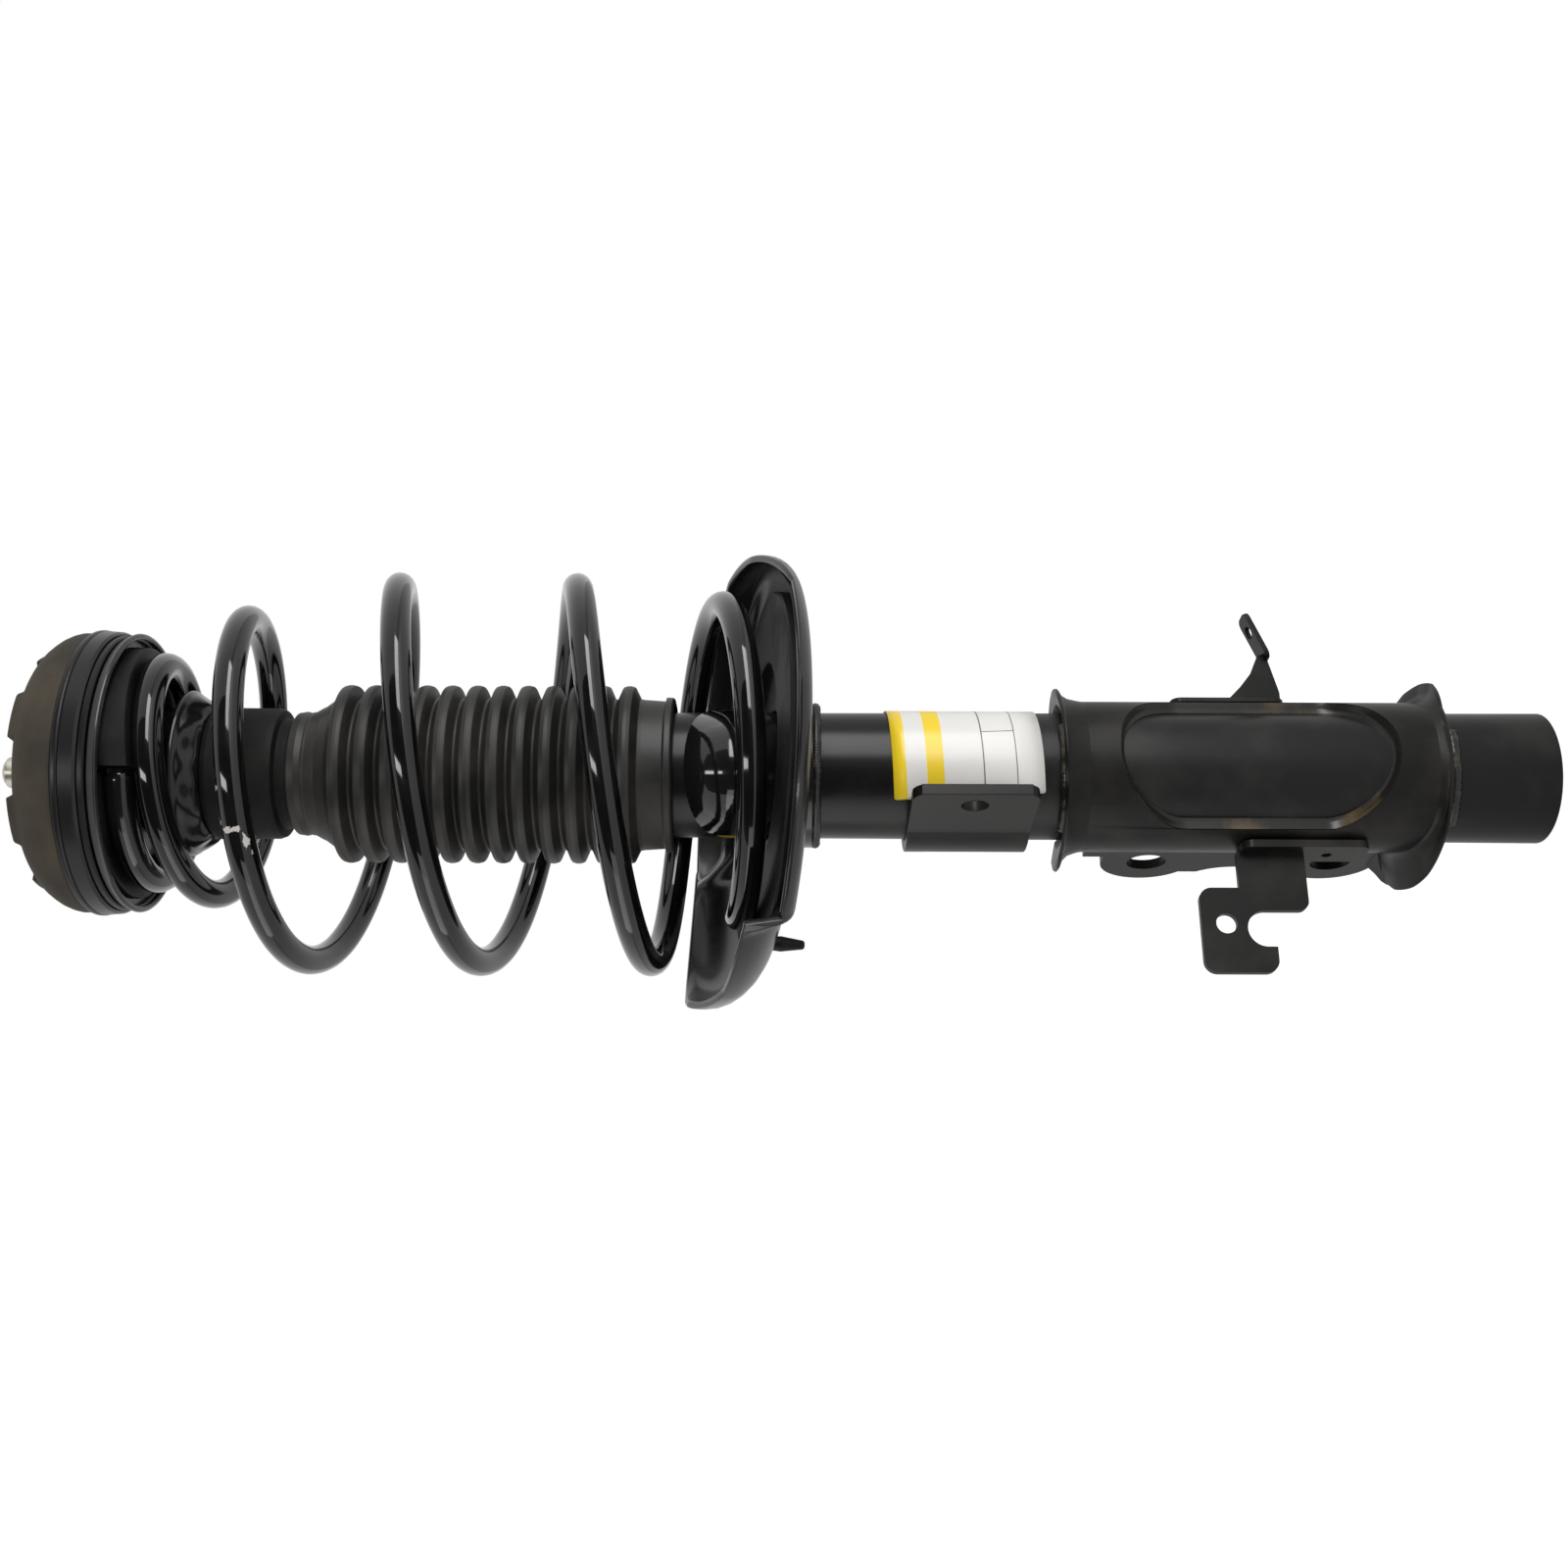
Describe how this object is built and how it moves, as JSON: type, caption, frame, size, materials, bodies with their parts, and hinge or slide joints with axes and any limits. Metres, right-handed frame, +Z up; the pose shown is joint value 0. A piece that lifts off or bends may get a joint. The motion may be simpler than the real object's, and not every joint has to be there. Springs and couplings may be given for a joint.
{
  "type": "strut assembly",
  "caption": "Complete MacPherson strut: damper with knuckle bracket and side seat, coil spring, ribbed dust boot, bump stop, steering bearing and castellated rubber top mount.",
  "frame": {"origin": "on the strut's axis, in the flat base of the damper tube", "axes": "+Z up the strut's axis to the top mount, +Y from the axis to the knuckle, and +X along the knuckle bolts"},
  "size_m": [0.1778, 0.1736, 0.6029],
  "materials": {
    "tube_paint": "satin",
    "spring_paint": "gloss",
    "seat_paint": "satin",
    "bracket_paint": "satin",
    "weld_paint": "satin",
    "turned_steel": "machined",
    "sintered_iron": "matte",
    "ring_band": "matte",
    "rod_chrome": "mirror",
    "seal_rubber": "satin",
    "cap_plastic": "satin",
    "pad_rubber": "satin",
    "boot_rubber": "satin",
    "bump_foam": "matte",
    "cup_plastic": "gloss",
    "upper_seat_paint": "satin",
    "bearing_plastic": "satin",
    "cage_nylon": "matte",
    "ball_steel": "polished",
    "race_plastic": "satin",
    "mount_plate_paint": "satin",
    "mount_rubber_brown": "matte",
    "zinc_plate": "zinc"
  },
  "bodies": {
    "damper": {"strut_tube": "tube_paint", "base_cap": "tube_paint", "base_valve": "sintered_iron", "pressure_tube": "turned_steel", "rod_guide": "sintered_iron", "rod_seal": "seal_rubber", "tube_cap": "cap_plastic", "lower_spring_seat": "seat_paint", "seat_weld": "weld_paint", "lower_insulator": "pad_rubber", "coil_spring": "spring_paint", "knuckle_bracket": "bracket_paint", "bracket_welds": "weld_paint", "sway_link_bracket": "bracket_paint", "brake_hose_bracket": "bracket_paint", "sensor_wire_bracket": "bracket_paint"},
    "upper_seat": {"dust_boot": "boot_rubber", "bump_stop": "bump_foam", "bump_cup": "cup_plastic", "upper_insulator": "pad_rubber", "upper_spring_seat": "upper_seat_paint", "bearing_lower_race": "bearing_plastic"},
    "ball_cage": {"bearing_cage": "cage_nylon", "bearing_balls": "ball_steel"},
    "top_mount": {"piston": "sintered_iron", "piston_ring": "ring_band", "piston_nut": "turned_steel", "piston_rod": "rod_chrome", "rebound_stop": "seal_rubber", "bearing_upper_race": "race_plastic", "mount_plate": "mount_plate_paint", "mount_rubber": "mount_rubber_brown", "mount_core": "turned_steel", "rod_washer": "zinc_plate", "rod_nut": "zinc_plate"}
  },
  "joints": [
    {"name": "strut_travel", "type": "slide", "parent": "damper", "child": "upper_seat", "axis": [0, 0, 1], "range_m": [-0.091, 0], "stiffness_N_per_m": 25000, "springref_m": 0.002, "deforming": ["coil_spring", "dust_boot"]},
    {"name": "strut_bearing", "type": "hinge", "parent": "upper_seat", "child": "top_mount", "pos_m": [0, 0, 0.5555], "axis": [0, 0, 1], "continuous": true},
    {"name": "cage_spin", "type": "hinge", "parent": "upper_seat", "child": "ball_cage", "pos_m": [0, 0, 0.5555], "axis": [0, 0, 1], "continuous": true}
  ],
  "couplings": [
    {"joint": "cage_spin", "follows": "strut_bearing", "ratio": 0.5}
  ]
}
